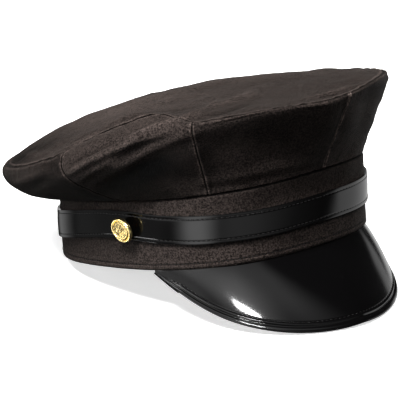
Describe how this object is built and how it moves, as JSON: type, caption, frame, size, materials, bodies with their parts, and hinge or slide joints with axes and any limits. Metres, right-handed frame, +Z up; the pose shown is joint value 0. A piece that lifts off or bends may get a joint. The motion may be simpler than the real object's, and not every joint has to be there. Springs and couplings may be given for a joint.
{
  "type": "chauffeur cap",
  "caption": "Peaked chauffeur cap with a wide soft cloth crown, a cloth band, a glossy chin strap held by metal buttons and a steep glossy peak.",
  "frame": {"origin": "on the surface that the cap rests on, under the middle of the resting cap", "axes": "+Z up, the peak to the front towards -Y, the wearer's right towards -X; the cap rests tipped nose up by 11.9 degrees"},
  "size_m": [0.2358, 0.2816, 0.1378],
  "materials": {
    "crown_cloth": "black-brown twill with a slight sheen",
    "band_cloth": "the same twill over a stiffened band",
    "strap_gloss": "black patent vinyl",
    "peak_gloss": "black patent vinyl with a moulded rim",
    "button_gold": "pale gold plate"
  },
  "bodies": {
    "root": {"band": "band_cloth", "chin_strap": "strap_gloss", "button_right": "button_gold", "button_left": "button_gold", "peak": "peak_gloss", "top_panel": "crown_cloth", "side_panel_1": "crown_cloth", "side_panel_2": "crown_cloth", "side_panel_3": "crown_cloth", "side_panel_4": "crown_cloth", "side_panel_5": "crown_cloth", "side_panel_6": "crown_cloth", "side_panel_7": "crown_cloth", "side_panel_8": "crown_cloth"}
  },
  "joints": []
}
